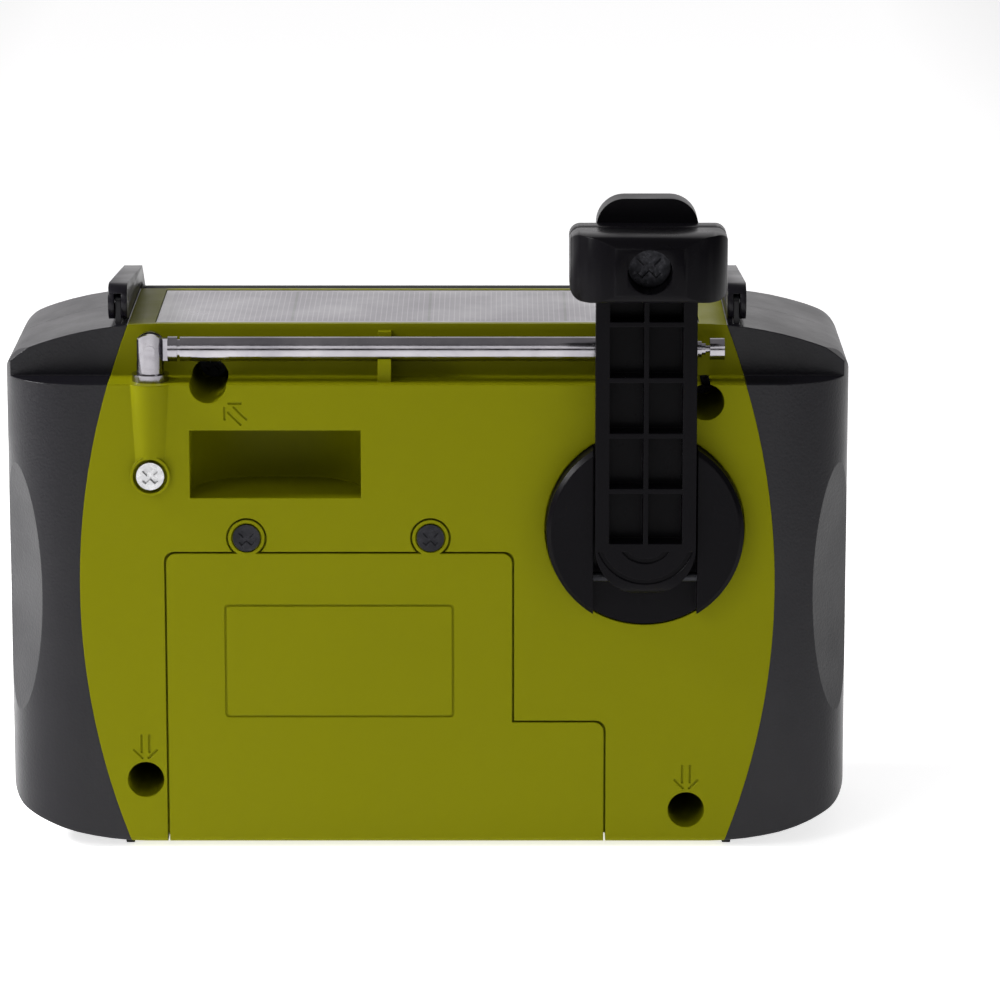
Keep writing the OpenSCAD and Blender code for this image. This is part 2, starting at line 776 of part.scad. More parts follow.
module crank_hub() color([0.04, 0.04, 0.05]) place() difference() {
    union() {
        bar(hub_x, hub_z, -hub_out + 0.8, hub_sink, hub_r);
        translate([hub_x, -hub_out + 0.8, hub_z]) rotate([90, 0, 0])
            cylinder(r1 = hub_r, r2 = hub_r - 0.8, h = 0.8);
    }
    block([hub_x - channel_w / 2, -hub_out - 1, hub_z - far], [hub_x + channel_w / 2, 0, hub_z + far]);
    // ring groove in the channel's floor
    deep(-1, 0.5) translate([hub_x, hub_z]) difference() {
        circle(8.6);
        circle(7);
    }
    cross(hub_x - hub_r + 3, hub_x + hub_r - 3, -hinge_out, hinge_z, arm_pin_r);
    bar(hub_x, hub_z, -2, 3, 1.6);
    bar(hub_x, hub_z, -2, 0.6, 3.1);
}

module hub_screw() color([0.7, 0.7, 0.72]) place() screw(hub_x, hub_z, 0.05, 2.9, 0.55, 1.5, 8);

module crank_shaft() color([0.75, 0.75, 0.77]) place() difference() {
    bar(hub_x, hub_z, hub_sink, plate_y + plate_t, shaft_r);
    bar(hub_x, hub_z, 0, 9, 1.5);
}

module shaft_bush() color([0.7, 0.55, 0.25]) place() difference() {
    union() {
        bar(hub_x, hub_z, hub_sink + 0.1, wall + 3, shaft_r + 1.5);
        bar(hub_x, hub_z, wall + 3, gear_y - 0.4, shaft_r + 2.6);
    }
    bar(hub_x, hub_z, 0, gear_y, shaft_r + fine);
}

// involute tooth flank, t from 0 at the base circle
function involute(rb, t) = [rb * (cos(t) + t * PI / 180 * sin(t)), rb * (sin(t) - t * PI / 180 * cos(t))];
function turned(p, a) = [p[0] * cos(a) - p[1] * sin(a), p[0] * sin(a) + p[1] * cos(a)];

// outline of a gear with a tooth in the direction of +X
function gear_points(n, play = 0.12) = let(
        r = tooth_m * n / 2,
        rb = r * cos(20),
        ro = r + tooth_m * 0.95,
        rr = r - tooth_m * 1.2,
        top = sqrt(pow(ro / rb, 2) - 1) * 180 / PI,
        low = rr > rb ? sqrt(pow(rr / rb, 2) - 1) * 180 / PI : 0,
        at_pitch = tan(20) * 180 / PI - 20,
        half = 90 / n - play / 2 / r * 180 / PI + at_pitch,
        steps = 4,
        flank = [for (i = [0 : steps]) involute(rb, low + (top - low) * i / steps)])
    [for (k = [0 : n - 1]) let(a = 360 * k / n) each concat(
        [turned([rr, 0], a - half - (rr > rb ? 0 : 0.5))],
        [for (i = [0 : steps]) turned(flank[i], a - half)],
        [for (i = [steps : -1 : 0]) turned([flank[i][0], -flank[i][1]], a + half)],
        [turned([rr, 0], a + half + (rr > rb ? 0 : 0.5))])];

module gear(at, n, turn, y0, y1) deep(y0, y1) translate(at) rotate(turn) polygon(gear_points(n));

module crank_gear() color([0.85, 0.85, 0.8]) place() difference() {
    gear([hub_x, hub_z], crank_teeth, idler_turn, gear_y, gear_y + gear_t);
    bar(hub_x, hub_z, gear_y - 1, gear_y + gear_t + 1, shaft_r);
}

module idler_gear() color([0.85, 0.85, 0.8]) place() difference() {
    union() {
        gear(idler_at, idler_small, idler_turn + 180 + 180 / idler_small, gear_y - 0.2, large_y);
        gear(idler_at, idler_large, rotor_turn, large_y, large_y + gear_t);
    }
    bar(idler_at[0], idler_at[1], gear_y - 1, large_y + gear_t + 1, pin_r + fine);
}

module generator_rotor() color([0.8, 0.8, 0.82]) place() {
    gear(rotor_at, rotor_teeth, rotor_turn + 180 + 180 / rotor_teeth, large_y - 0.2, large_y + gear_t + 0.2);
    bar(rotor_at[0], rotor_at[1], large_y + gear_t, plate_y + plate_t + 1, 1.2);
    bar(rotor_at[0], rotor_at[1], plate_y + plate_t + 1, plate_y + plate_t + gen_len - 2, gen_r * 0.6);
}

module generator() color([0.6, 0.6, 0.62]) place() difference() {
    bar(rotor_at[0], rotor_at[1], plate_y + plate_t, plate_y + plate_t + gen_len, gen_r);
    bar(rotor_at[0], rotor_at[1], plate_y + plate_t + 0.8, plate_y + plate_t + gen_len - 1.5, gen_r * 0.6 + 0.4);
    bar(rotor_at[0], rotor_at[1], plate_y, plate_y + plate_t + 2, 1.3);
}

// plate that carries the shafts, with the idler's pin and two posts
module gear_plate() color([0.65, 0.65, 0.67]) place() {
    posts = [[rotor_at[0] - 4.5, ledge_z - 5], [hub_x, hub_z - 19.6]];
    post_r = 2;
    difference() {
        union() {
            deep(plate_y, plate_y + plate_t) {
                soft_rect([rotor_at[0] - 8, door_z + 1.2], [hub_x + 6, idler_at[1] + 11], 3);
                soft_rect([hub_x - 6, hub_z - 23], [hub_x + 6, hub_z + 6], 3);
            }
            bar(idler_at[0], idler_at[1], wall, plate_y + plate_t, pin_r);
            for (p = posts) bar(p[0], p[1], wall, plate_y, post_r);
        }
        bar(hub_x, hub_z, plate_y - 1, plate_y + plate_t + 1, shaft_r + fine);
        bar(rotor_at[0], rotor_at[1], plate_y - 1, plate_y + plate_t + 1, 1.25);
    }
}

// arm outline in X and Z, moved in by d
module arm_outline(d = 0) {
    half = arm_w / 2 - d;
    root_z = hinge_z - 3 + arm_w / 2;
    corner = 5;
    tip_z = knob_z + 10 - corner;
    translate([hub_x, root_z]) circle(half);
    translate([hub_x - half, root_z]) square([2 * half, tip_z - root_z]);
    translate([hub_x - half + corner - d, root_z]) square([2 * (half - corner + d), tip_z - root_z + corner - d]);
    for (s = [-1, 1]) translate([hub_x + s * (half - corner + d), tip_z]) circle(corner - d);
}

module crank_arm() color([0.04, 0.04, 0.05]) place() difference() {
    floor_t = 1.3;
    side_t = 2.5;
    rib_t = 0.9;
    pitch = 10.07;
    root = hinge_z + 6.7;
    intersection() {
        deep(-arm_face, -slack) arm_outline();
        union() {
            block([0, -far, hinge_z], [far, far, far]);
            cross(0, far, -hinge_out, hinge_z, arm_t / 2);
        }
    }
    intersection() {
        deep(-arm_face - 1, -slack - floor_t) arm_outline(side_t);
        difference() {
            block([0, -far, root], [far, far, knob_z - knob_t / 2 - 1]);
            block([hub_x - rib_t / 2, -far, root], [hub_x + rib_t / 2, far, far]);
            for (z = [root : pitch : knob_z]) block([0, -far, z - rib_t], [far, far, z]);
        }
    }
    // ring grooves at the root
    intersection() {
        deep(-arm_face - 1, -arm_face + 0.4) translate([hub_x, hub_z]) for (r = [5.2, 9]) difference() {
            circle(r);
            circle(r - 0.8);
        }
        block([0, -far, 0], [far, 0, root - rib_t - 0.6]);
    }
    cross(0, far, -hinge_out, hinge_z, arm_pin_r + fine);
    bar(hub_x, knob_z, -arm_face - 1, -slack + 1, 2);
    bar(hub_x, knob_z, -slack - 1.2, 1, 3.6);
}

module arm_pin() color([0.7, 0.7, 0.72]) place()
    cross(hub_x - hub_r + 3.2, hub_x + hub_r - 3.2, -hinge_out, hinge_z, arm_pin_r);

// the knob's outer shape, from the arm outwards
module knob_solid() translate([hub_x, -arm_face - slack, knob_z]) intersection() {
    half = knob_w / 2;
    reach = knob_len - slack;
    translate([0, 0, -knob_t / 2]) linear_extrude(knob_t) {
        translate([-half, -reach + knob_round]) square([knob_w, reach - knob_round]);
        translate([-half + knob_round, -reach]) square([knob_w - 2 * knob_round, reach]);
        for (s = [-1, 1]) translate([s * (half - knob_round), -reach + knob_round]) circle(knob_round);
    }
    rotate([90, 0, 0]) linear_extrude(reach) soft_rect([-half, -knob_t / 2], [half, knob_t / 2], 2);
    rotate([90, 0, 90]) translate([0, 0, -half]) linear_extrude(knob_w) {
        translate([-reach + 3, -knob_t / 2]) square([reach - 3, knob_t]);
        translate([-reach, -knob_t / 2 + 3]) square([reach, knob_t - 6]);
        for (s = [-1, 1]) translate([-reach + 3, s * (knob_t / 2 - 3)]) circle(3);
    }
}

module knob_strip() color([0.03, 0.03, 0.04]) place() difference() {
    intersection() {
        knob_solid();
        block([0, -arm_face - slack - strip_t, 0], [far, 0, far]);
    }
    bar(hub_x, knob_z, -far, 0, 3.1 + fine);
}

module crank_knob() color([0.03, 0.03, 0.04]) place() difference() {
    intersection() {
        knob_solid();
        block([0, -far, 0], [far, -arm_face - slack - strip_t - 0.15, far]);
    }
    bar(hub_x, knob_z, -far, 0, 3.1 + fine);
    bar(hub_x, knob_z, -far, -arm_face - 10, 3.9);
}

module knob_axle() color([0.7, 0.7, 0.72]) place() difference() {
    union() {
        bar(hub_x, knob_z, -arm_face - 10.1, -arm_face, 3.1);
        bar(hub_x, knob_z, -arm_face, -slack - 1.2, 2);
        bar(hub_x, knob_z, -slack - 1.2, -slack - 0.2, 3.5);
    }
    bar(hub_x, knob_z, -far, -arm_face - 3, 1.25);
}

module knob_screw() color([0.5, 0.5, 0.52]) place()
    screw(hub_x, knob_z, -arm_face - 11.9, 3.7, 1.7, 1.2, 8);

module main_board() color([0.1, 0.35, 0.15]) place() difference() {
    block([-4, board_y, 12], [52, board_y + 1.6, 84]);
    for (w = wells) bar(w[0], w[1], 0, far, boss_r + 0.5);
    bar(button_x, low_row_z, 0, far, 2.6);
}

module speaker() color([0.25, 0.25, 0.27]) place() {
    y = body_d - wall;
    difference() {
        bar(speaker_x, speaker_z, y - 1.2, y, speaker_r + 0.5);
        bar(speaker_x, speaker_z, y - 2, y + 1, speaker_r - 2);
    }
    translate([speaker_x, y - 1.2, speaker_z]) rotate([90, 0, 0]) difference() {
        cylinder(r1 = speaker_r - 1.5, r2 = 11, h = 8);
        translate([0, 0, -0.01]) cylinder(r1 = speaker_r - 2.5, r2 = 10, h = 7);
    }
    bar(speaker_x, speaker_z, y - 15, y - 9.2, 12);
}

module speaker_grille() color([0.1, 0.1, 0.1]) place() difference() {
    bar(speaker_x, speaker_z, body_d - 1.4, body_d - 0.4, speaker_r + 0.4);
    bar(speaker_x, speaker_z, body_d - 2, body_d + 1, grille_hole_r);
    for (ring = [1 : 6], k = [0 : ring * 6 - 1])
        bar(speaker_x + ring * 3.6 * cos(k * 60 / ring), speaker_z + ring * 3.6 * sin(k * 60 / ring),
            body_d - 2, body_d + 1, grille_hole_r);
}

module ferrite_aerial() color([0.15, 0.13, 0.12]) place() {
    y = rear_d - 4;
    z = body_h - wall - 6.5;
    difference() {
        cross(-30, 30, y, z, 4);
        cross(-16, 6, y, z, 4.01);
    }
    cross(-16, 6, y, z, 4.8);
}

module front_knob(x, r, out) difference() {
    union() {
        bar(x, knob_row_z, body_d + slack, body_d + out - 1, r);
        translate([x, body_d + out - 1, knob_row_z]) rotate([-90, 0, 0]) cylinder(r1 = r, r2 = r - 1, h = 1);
        bar(x, knob_row_z, board_y + 2, body_d + slack, 3);
    }
    grips = 24;
    for (k = [0 : grips - 1])
        translate([x, 0, knob_row_z]) rotate([0, k * 360 / grips, 0])
            bar(r + 0.25, 0, body_d + 1, body_d + out + 1, 0.6);
    bar(x, knob_row_z, board_y, body_d, 1.5 + fine);
    block([x - 0.4, body_d + out - 0.5, knob_row_z + r * 0.4], [x + 0.4, body_d + out + 1, knob_row_z + r * 0.85]);
}

module tuning_knob() color([0.06, 0.06, 0.06]) place() front_knob(tuning_x, tuning_r, 8);

module volume_knob() color([0.06, 0.06, 0.06]) place() front_knob(volume_x, volume_r, 7);

module control(x, w) {
    block([x - w / 2, board_y - 8, knob_row_z - w / 2], [x + w / 2, board_y, knob_row_z + w / 2]);
    bar(x, knob_row_z, board_y + 1.6, body_d - 1, 1.5);
}

module tuning_capacitor() color([0.85, 0.85, 0.8]) place() control(tuning_x, 16);

module volume_control() color([0.3, 0.3, 0.3]) place() control(volume_x, 12);

module dial_window() color([0.8, 0.85, 0.85, 0.4]) place() deep(body_d - 1.2, body_d - 0.2)
    soft_rect([window_x - window_w / 2 + 0.1, window_z - window_h / 2 + 0.1],
        [window_x + window_w / 2 - 0.1, window_z + window_h / 2 - 0.1], 2.4);

module dial_scale() color([0.9, 0.9, 0.85]) place()
    block([window_x - window_w / 2 + 1, pointer_y - 1.4, window_z - window_h / 2 + 1],
        [window_x + window_w / 2 - 1, pointer_y - 0.6, window_z + window_h / 2 - 1]);

module dial_pointer() color([0.8, 0.1, 0.05]) place()
    block([window_x - 0.6, pointer_y, window_z - 6], [window_x + 0.6, pointer_y + 0.8, window_z + 6]);

module band_slider() color([0.06, 0.06, 0.06]) place() {
    block([slider_x - 5, body_d - wall + 0.5, low_row_z - 1.5], [slider_x - 1, body_d + 1.6, low_row_z + 1.5]);
    block([slider_x - 9, body_d - wall - 1.3, low_row_z - 2.6], [slider_x + 3, body_d - wall - 0.1, low_row_z + 2.6]);
    block([slider_x - 5, body_d - wall - 0.2, low_row_z - 1.5], [slider_x - 1, body_d - wall + 0.6, low_row_z + 1.5]);
}

module torch_lens() color([0.9, 0.95, 1, 0.4]) place() cross(half_w - 2, half_w - 0.2, torch_y, torch_z, torch_r);

module torch_reflector() color([0.85, 0.85, 0.87]) place() translate([half_w - 2, torch_y, torch_z])
    rotate([0, -90, 0]) difference() {
        cylinder(r1 = torch_r, r2 = 3, h = 9);
        translate([0, 0, -0.01]) cylinder(r1 = torch_r - 0.9, r2 = 2, h = 8);
    }

module torch_button() color([0.7, 0.1, 0.08]) place() {
    bar(button_x, low_row_z, body_d - wall, body_d + 1.2, 4.1);
    bar(button_x, low_row_z, board_y + 2, body_d - wall, 2.4);
}

// handle arm, s = -1 on the left
module handle_arm(s) color([0.04, 0.04, 0.05]) place() difference() {
    x0 = s * handle_x - handle_w / 2;
    translate([x0, 0, 0]) rotate([90, 0, 90]) linear_extrude(handle_w) {
        hull() {
            translate([handle_y, handle_z]) circle(handle_root_r, $fn = 32);
            translate(knee) circle(knee_r, $fn = 32);
        }
        hull() {
            translate(knee) circle(knee_r, $fn = 32);
            translate(grip) circle(grip_r - 0.4, $fn = 32);
        }
    }
    slot = ear_t / 2 + ear_gap;
    reach = ear_r + ear_gap;
    block([s * handle_x - slot, handle_y - 6, 0], [s * handle_x + slot, handle_y + reach, handle_z + reach]);
    cross(s * handle_x - 3, s * handle_x + 3, handle_y, handle_z, 0.8 + fine);
}

module handle_left() handle_arm(-1);

module handle_right() handle_arm(1);

module handle_grip() color([0.05, 0.05, 0.05]) place() {
    x = handle_x - handle_w / 2;
    cross(-x, x, grip[0], grip[1], grip_r);
}

module handle_pins() color([0.7, 0.7, 0.72]) place()
    for (s = [-1, 1]) cross(s * handle_x - handle_w / 2, s * handle_x + handle_w / 2, handle_y, handle_z, 0.8);

// low bars that follow the curve of the underside
module feet() color([0.03, 0.03, 0.03]) place() difference() {
    for (s = [-1, 1]) block([s * foot_x - foot_w / 2, 3, -foot_h], [s * foot_x + foot_w / 2, body_d - 8, 2]);
    deep(-1, body_d + 1) outline();
}

module power_led() color([0.8, 0.1, 0.1]) place() {
    bar(led_x, low_row_z, board_y + 1.6, body_d + 0.5, 1.5);
}

module earphone_jack() color([0.1, 0.1, 0.1]) place() difference() {
    cross(-half_w + 0.4, -half_w + 11, rear_d, jack_z, 2.95);
    cross(-half_w, -half_w + 10, rear_d, jack_z, 1.75);
}

module charge_socket() color([0.7, 0.7, 0.72]) place() difference() {
    block([-half_w + 0.4, rear_d - 1.75, socket_z - 4.7], [-half_w + 8, rear_d + 1.75, socket_z + 4.7]);
    block([-half_w, rear_d - 1.3, socket_z - 4.2], [-half_w + 7, rear_d + 1.3, socket_z + 4.2]);
}

rear_case();
front_case();
rear_cap_left();
rear_cap_right();
front_cap_left();
front_cap_right();
battery_door();
door_screws();
battery_box();
battery_springs();
aa_cells();
lithium_cell();
case_screws();
antenna_post();
antenna_screw();
antenna_pin();
antenna_root();
antenna_section_2();
antenna_section_3();
antenna_section_4();
antenna_section_5();
solar_panel();
crank_hub();
hub_screw();
crank_shaft();
shaft_bush();
crank_gear();
crank_arm();
arm_pin();
crank_knob();
knob_strip();
knob_axle();
knob_screw();
idler_gear();
generator_rotor();
generator();
gear_plate();
main_board();
speaker();
speaker_grille();
ferrite_aerial();
tuning_knob();
tuning_capacitor();
volume_knob();
volume_control();
dial_window();
dial_scale();
dial_pointer();
band_slider();
torch_lens();
torch_reflector();
torch_button();
handle_left();
handle_right();
handle_grip();
handle_pins();
feet();
power_led();
earphone_jack();
charge_socket();
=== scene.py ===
import bmesh
import bpy
import json
import math
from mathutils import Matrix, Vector


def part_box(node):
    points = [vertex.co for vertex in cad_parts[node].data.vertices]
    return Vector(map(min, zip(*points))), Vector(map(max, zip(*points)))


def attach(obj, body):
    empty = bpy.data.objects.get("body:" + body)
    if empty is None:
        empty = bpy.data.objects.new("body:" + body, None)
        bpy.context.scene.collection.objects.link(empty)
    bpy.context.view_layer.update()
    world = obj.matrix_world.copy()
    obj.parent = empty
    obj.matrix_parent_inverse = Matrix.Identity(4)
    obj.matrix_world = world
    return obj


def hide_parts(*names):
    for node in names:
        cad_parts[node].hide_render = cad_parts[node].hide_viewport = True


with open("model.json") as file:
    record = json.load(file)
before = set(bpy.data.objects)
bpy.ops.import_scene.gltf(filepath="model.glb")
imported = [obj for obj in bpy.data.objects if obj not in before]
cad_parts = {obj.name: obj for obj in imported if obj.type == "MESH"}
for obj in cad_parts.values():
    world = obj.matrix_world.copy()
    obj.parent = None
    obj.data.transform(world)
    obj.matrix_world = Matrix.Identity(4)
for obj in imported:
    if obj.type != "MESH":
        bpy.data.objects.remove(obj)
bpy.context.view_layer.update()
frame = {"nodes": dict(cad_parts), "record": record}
mm = 0.001


def low(node):
    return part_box(node)[0]


def high(node):
    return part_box(node)[1]


def middle(node):
    return (low(node) + high(node)) / 2


rearFace = low("battery_door").y  # the flat rear face of the case
ground = low("feet").z


# camera, light and floor

view = dict(
    distance=0.930,       # from the lens to the rear face, along the optical axis
    pitch=12.5,           # degrees that the camera looks down
    aimX=0.0131,          # where the optical axis meets the rear face
    aimZ=0.0648,
    lens=186.5,
)

studio = dict(
    key=(-0.60, -0.80, 0.75, 0.5, 2.6),      # x, y, z, size, power of each soft box
    fill=(0.80, -0.65, 0.50, 0.5, 1.3),
    front=(-0.1, -1.05, 0.60, 0.6, 1.2),
    side=(-0.46, -0.02, 0.36, 0.16, 4.0),
    skyNear=0.04,         # brightness of the surroundings on the camera's side
    skyFar=0.95,          # and behind the object
    skyTop=0.26,          # and overhead
    skyTurn=(0.45, 0.95),     # where it brightens, from the near side to the far side
    skyRise=(0.35, 0.95),     # and from the horizon to overhead
    skyTint=(1, 0.985, 1),
    floorColor=(0.9, 0.9, 0.9),
    floorGlow=0.72,
    floorEdge=0.3,        # the glow well to the left and right
    floorFade=(0.17, 0.40),   # where the glow starts and stops falling off, in metres from the middle
    floorSize=6,
)


def makeCamera(s):
    cam = bpy.data.cameras.new("camera")
    cam.lens = s["lens"]
    cam.sensor_width = 36
    cam.clip_start = 0.01
    holder = bpy.data.objects.new("camera", cam)
    bpy.context.scene.collection.objects.link(holder)
    aim = Vector((s["aimX"], rearFace, s["aimZ"] + ground))
    tilt = math.radians(s["pitch"])
    holder.location = aim + s["distance"] * Vector((0, -math.cos(tilt), math.sin(tilt)))
    holder.rotation_euler = (math.radians(90) - tilt, 0, 0)
    bpy.context.scene.camera = holder


def softBox(name, x, y, z, size, power):
    lamp = bpy.data.lights.new(name, "AREA")
    lamp.shape = "RECTANGLE"
    lamp.size = size
    lamp.size_y = size * 0.8
    lamp.energy = power
    holder = bpy.data.objects.new(name, lamp)
    bpy.context.scene.collection.objects.link(holder)
    holder.location = (x, y, z)
    aim = Vector((0, 0, 0.05)) - holder.location
    holder.rotation_euler = aim.to_track_quat("-Z", "Y").to_euler()


def setRange(node, fromEnds, toEnds):
    for socket, value in zip(("From Min", "From Max", "To Min", "To Max"), (*fromEnds, *toEnds)):
        node.inputs[socket].default_value = value


def makeStudio(s):
    world = bpy.data.worlds.new("studio")
    bpy.context.scene.world = world
    world.use_nodes = True
    tree = world.node_tree
    coords = tree.nodes.new("ShaderNodeTexCoord")
    parts = tree.nodes.new("ShaderNodeSeparateXYZ")
    tree.links.new(coords.outputs["Generated"], parts.inputs[0])
    depth = tree.nodes.new("ShaderNodeMapRange")
    depth.interpolation_type = "SMOOTHSTEP"
    tree.links.new(parts.outputs["Y"], depth.inputs["Value"])
    setRange(depth, s["skyTurn"], (s["skyNear"], s["skyFar"]))
    height = tree.nodes.new("ShaderNodeMapRange")
    height.interpolation_type = "SMOOTHSTEP"
    tree.links.new(parts.outputs["Z"], height.inputs["Value"])
    setRange(height, s["skyRise"], (0.0, s["skyTop"]))
    glow = tree.nodes.new("ShaderNodeMath")
    glow.operation = "MAXIMUM"
    tree.links.new(depth.outputs["Result"], glow.inputs[0])
    tree.links.new(height.outputs["Result"], glow.inputs[1])
    sky = tree.nodes["Background"]
    sky.inputs["Color"].default_value = (*s["skyTint"], 1)
    tree.links.new(glow.outputs[0], sky.inputs["Strength"])
    for name in ("key", "fill", "front", "side"):
        softBox(name + "Light", *s[name])
    bpy.ops.mesh.primitive_plane_add(size=s["floorSize"], location=(0, 0, ground))
    floor = bpy.context.object
    floor.name = "floor"
    paint = bpy.data.materials.new("floorPaint")
    paint.use_nodes = True
    surface = paint.node_tree.nodes["Principled BSDF"]
    surface.inputs["Base Color"].default_value = (*s["floorColor"], 1)
    surface.inputs["Roughness"].default_value = 0.9
    surface.inputs["Specular IOR Level"].default_value = 0.1
    surface.inputs["Emission Color"].default_value = (1, 1, 1, 1)
    where = paint.node_tree.nodes.new("ShaderNodeTexCoord")
    parts = paint.node_tree.nodes.new("ShaderNodeSeparateXYZ")
    aside = paint.node_tree.nodes.new("ShaderNodeMath")
    aside.operation = "ABSOLUTE"
    fade = paint.node_tree.nodes.new("ShaderNodeMapRange")
    setRange(fade, s["floorFade"], (s["floorGlow"], s["floorEdge"]))
    paint.node_tree.links.new(where.outputs["Object"], parts.inputs[0])
    paint.node_tree.links.new(parts.outputs["X"], aside.inputs[0])
    paint.node_tree.links.new(aside.outputs[0], fade.inputs["Value"])
    paint.node_tree.links.new(fade.outputs["Result"], surface.inputs["Emission Strength"])
    floor.data.materials.append(paint)


makeCamera(view)
makeStudio(studio)
bpy.context.scene.view_settings.view_transform = "Standard"
print("camera and studio ready")


# materials

def newMaterial(name):
    material = bpy.data.materials.new(name)
    material.use_nodes = True
    tree = material.node_tree
    return material, tree, tree.nodes["Principled BSDF"]


def place(tree, kind, **values):
    node = tree.nodes.new(kind)
    for key, value in values.items():
        if key in node.inputs:
            node.inputs[key].default_value = value
        else:
            setattr(node, key, value)
    return node


def objectSpace(tree, stretch=(1, 1, 1)):
    coords = place(tree, "ShaderNodeTexCoord")
    mapping = place(tree, "ShaderNodeMapping")
    mapping.inputs["Scale"].default_value = stretch
    tree.links.new(coords.outputs["Object"], mapping.inputs["Vector"])
    return mapping.outputs["Vector"]


def noiseField(tree, where, scale, detail=4, rough=0.55):
    node = place(tree, "ShaderNodeTexNoise", Scale=scale, Detail=detail, Roughness=rough)
    tree.links.new(where, node.inputs["Vector"])
    return node.outputs["Fac"]


def remap(tree, value, lowOut, highOut, lowIn=0.0, highIn=1.0):
    node = place(tree, "ShaderNodeMapRange")
    setRange(node, (lowIn, highIn), (lowOut, highOut))
    tree.links.new(value, node.inputs["Value"])
    return node.outputs["Result"]


def mixColor(tree, factor, first, second):
    node = place(tree, "ShaderNodeMix", data_type="RGBA")
    tree.links.new(factor, node.inputs["Factor"])
    for socket, value in ((node.inputs[6], first), (node.inputs[7], second)):
        if isinstance(value, tuple):
            socket.default_value = (*value[:3], 1)
        else:
            tree.links.new(value, socket)
    return node.outputs[2]


def roundedEdges(tree, radius):
    node = place(tree, "ShaderNodeBevel", samples=6)
    node.inputs["Radius"].default_value = radius * mm
    return node.outputs["Normal"]


def bump(tree, height, depth, normal=None):
    node = place(tree, "ShaderNodeBump")
    node.inputs["Strength"].default_value = 1.0
    node.inputs["Distance"].default_value = depth
    tree.links.new(height, node.inputs["Height"])
    if normal is not None:
        tree.links.new(normal, node.inputs["Normal"])
    return node.outputs["Normal"]


moulded = dict(
    cloudScale=35,            # slow change of tint over the surface
    unevenScale=90,           # change of gloss
    scuffScale=1800,
    scuffStretch=(1, 1, 0.25),
    scuffStart=(0.66, 0.74),  # how much of the scuff noise shows
)


def plastic(name, s):
    material, tree, surface = newMaterial(name)
    where = objectSpace(tree)
    cloud = noiseField(tree, where, moulded["cloudScale"], 3)
    darker = tuple(c * (1 - s.get("tone", 0.06)) for c in s["color"])
    lighter = tuple(min(1, c * (1 + s.get("tone", 0.06))) for c in s["color"])
    tint = mixColor(tree, cloud, darker, lighter)
    scuffs = noiseField(tree, objectSpace(tree, moulded["scuffStretch"]), moulded["scuffScale"], 2)
    scuffMask = remap(tree, scuffs, 0.0, 1.0, *moulded["scuffStart"])
    speck = place(tree, "ShaderNodeMath", operation="MULTIPLY")
    tree.links.new(scuffMask, speck.inputs[0])
    speck.inputs[1].default_value = s.get("scuff", 0.05)
    tint = mixColor(tree, speck.outputs[0], tint, s.get("scuffColor", (0.5, 0.5, 0.5)))
    tree.links.new(tint, surface.inputs["Base Color"])
    grain = noiseField(tree, where, 1000 / s["grain"], 2, 0.5)
    spread = s.get("spread", 0.06)
    uneven = noiseField(tree, where, moulded["unevenScale"], 4)
    tree.links.new(remap(tree, uneven, s["rough"] - spread, s["rough"] + spread, 0.3, 0.7),
                   surface.inputs["Roughness"])
    if s.get("cells"):
        cells = place(tree, "ShaderNodeTexVoronoi", feature="SMOOTH_F1", Scale=1000 / s["cells"])
        cells.inputs["Smoothness"].default_value = 0.6
        tree.links.new(where, cells.inputs["Vector"])
        rounded = roundedEdges(tree, s.get("edge", 0.3))
        normal = bump(tree, cells.outputs["Distance"], s["cellDepth"] * mm, rounded)
        normal = bump(tree, grain, s["depth"] * mm, normal)
    else:
        normal = bump(tree, grain, s["depth"] * mm, roundedEdges(tree, s.get("edge", 0.3)))
    tree.links.new(normal, surface.inputs["Normal"])
    surface.inputs["Specular IOR Level"].default_value = s.get("specular", 0.4)
    surface.inputs["Coat Weight"].default_value = s.get("coat", 0.0)
    surface.inputs["Coat Roughness"].default_value = s.get("coatRough", 0.2)
    return material


def metal(name, s):
    material, tree, surface = newMaterial(name)
    where = objectSpace(tree, s.get("stretch", (1, 1, 1)))
    lines = noiseField(tree, where, s["scale"], 3)
    tarnish = noiseField(tree, objectSpace(tree), 120, 4)
    tint = mixColor(tree, remap(tree, tarnish, 0, 1, 0.35, 0.75), s["color"], s["dull"])
    tree.links.new(tint, surface.inputs["Base Color"])
    tree.links.new(remap(tree, lines, s["rough"] * 0.6, s["rough"] * 1.5, 0.3, 0.7),
                   surface.inputs["Roughness"])
    tree.links.new(bump(tree, lines, s["depth"] * mm), surface.inputs["Normal"])
    surface.inputs["Metallic"].default_value = 1.0
    return material


def clear(name, s):
    material, tree, surface = newMaterial(name)
    where = objectSpace(tree)
    haze = noiseField(tree, where, 300, 3)
    tree.links.new(remap(tree, haze, s["rough"] * 0.5, s["rough"] * 2, 0.4, 0.7), surface.inputs["Roughness"])
    surface.inputs["Base Color"].default_value = (*s["color"], 1)
    surface.inputs["Transmission Weight"].default_value = 1.0
    surface.inputs["IOR"].default_value = s["ior"]
    return material


